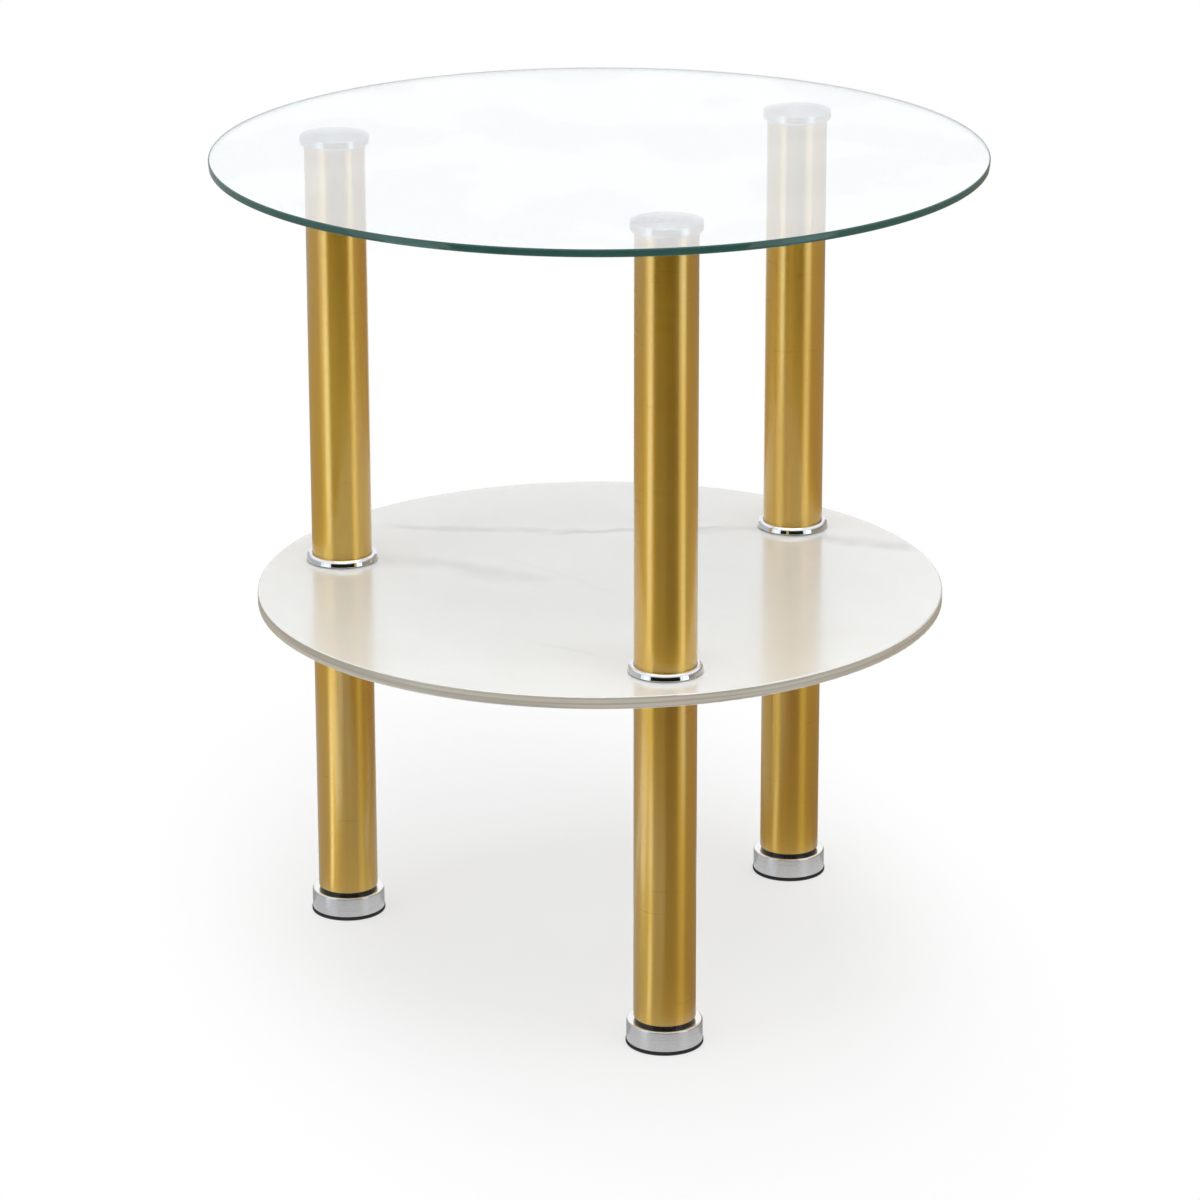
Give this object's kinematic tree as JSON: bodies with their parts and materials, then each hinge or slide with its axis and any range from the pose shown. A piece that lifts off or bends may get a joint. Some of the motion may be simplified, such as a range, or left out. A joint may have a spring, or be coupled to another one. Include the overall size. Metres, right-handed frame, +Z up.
{
  "type": "coffee table",
  "caption": "Round side table with a clear glass top, a lower round marble-look shelf and gold tube legs on levelling feet.",
  "frame": {"origin": "on the floor, on the vertical axis of the round top", "axes": "+Z up along the table's axis; one leg stands towards -Y, the other two at 30 and 150 degrees from +X"},
  "size_m": [0.4999, 0.5, 0.542],
  "materials": {
    "clear_glass": "clear polished float glass with a green edge",
    "marble_slab": "white with soft grey veins, satin face, beige ground edge",
    "gold_tube": "gold-coloured stainless steel, finely brushed round the tube",
    "chrome_ring": "bright chrome",
    "satin_metal": "turned and satin-brushed",
    "zinc_steel": "bright zinc plate",
    "black_plastic": "moulded, fine matt",
    "black_rubber": "moulded, matt",
    "clear_gasket": "clear soft vinyl"
  },
  "bodies": {
    "table": {"glass_top": "clear_glass", "shelf": "marble_slab", "top_cap_front": "satin_metal", "upper_tube_front": "gold_tube", "upper_tube_top_plug_front": "zinc_steel", "upper_tube_shelf_plug_front": "zinc_steel", "ring_above_front": "chrome_ring", "gasket_above_front": "clear_gasket", "tie_rod_front": "zinc_steel", "gasket_below_front": "clear_gasket", "ring_below_front": "chrome_ring", "lower_tube_front": "gold_tube", "lower_tube_shelf_plug_front": "zinc_steel", "foot_plug_front": "black_plastic", "foot_nut_front": "zinc_steel", "top_cap_left": "satin_metal", "upper_tube_left": "gold_tube", "upper_tube_top_plug_left": "zinc_steel", "upper_tube_shelf_plug_left": "zinc_steel", "ring_above_left": "chrome_ring", "gasket_above_left": "clear_gasket", "tie_rod_left": "zinc_steel", "gasket_below_left": "clear_gasket", "ring_below_left": "chrome_ring", "lower_tube_left": "gold_tube", "lower_tube_shelf_plug_left": "zinc_steel", "foot_plug_left": "black_plastic", "foot_nut_left": "zinc_steel", "top_cap_right": "satin_metal", "upper_tube_right": "gold_tube", "upper_tube_top_plug_right": "zinc_steel", "upper_tube_shelf_plug_right": "zinc_steel", "ring_above_right": "chrome_ring", "gasket_above_right": "clear_gasket", "tie_rod_right": "zinc_steel", "gasket_below_right": "clear_gasket", "ring_below_right": "chrome_ring", "lower_tube_right": "gold_tube", "lower_tube_shelf_plug_right": "zinc_steel", "foot_plug_right": "black_plastic", "foot_nut_right": "zinc_steel"},
    "pad_front": {"foot_pad_front": "black_rubber"},
    "foot_front": {"foot_cup_front": "satin_metal", "foot_stud_front": "zinc_steel"},
    "pad_left": {"foot_pad_left": "black_rubber"},
    "foot_left": {"foot_cup_left": "satin_metal", "foot_stud_left": "zinc_steel"},
    "pad_right": {"foot_pad_right": "black_rubber"},
    "foot_right": {"foot_cup_right": "satin_metal", "foot_stud_right": "zinc_steel"}
  },
  "joints": [
    {"name": "foot_travel_front", "type": "slide", "parent": "table", "child": "pad_front", "axis": [0, 0, -1], "range_m": [0, 0.0075]},
    {"name": "foot_turn_front", "type": "hinge", "parent": "pad_front", "child": "foot_front", "pos_m": [0, -0.18, 0], "axis": [0, 0, -1], "range_deg": [0, 1800]},
    {"name": "foot_travel_left", "type": "slide", "parent": "table", "child": "pad_left", "axis": [0, 0, -1], "range_m": [0, 0.0075]},
    {"name": "foot_turn_left", "type": "hinge", "parent": "pad_left", "child": "foot_left", "pos_m": [-0.15588, 0.09, 0], "axis": [0, 0, -1], "range_deg": [0, 1800]},
    {"name": "foot_travel_right", "type": "slide", "parent": "table", "child": "pad_right", "axis": [0, 0, -1], "range_m": [0, 0.0075]},
    {"name": "foot_turn_right", "type": "hinge", "parent": "pad_right", "child": "foot_right", "pos_m": [0.15588, 0.09, 0], "axis": [0, 0, -1], "range_deg": [0, 1800]}
  ],
  "couplings": [
    {"joint": "foot_turn_front", "follows": "foot_travel_front", "rad_per_m": 4188.8},
    {"joint": "foot_turn_left", "follows": "foot_travel_left", "rad_per_m": 4188.8},
    {"joint": "foot_turn_right", "follows": "foot_travel_right", "rad_per_m": 4188.8}
  ]
}
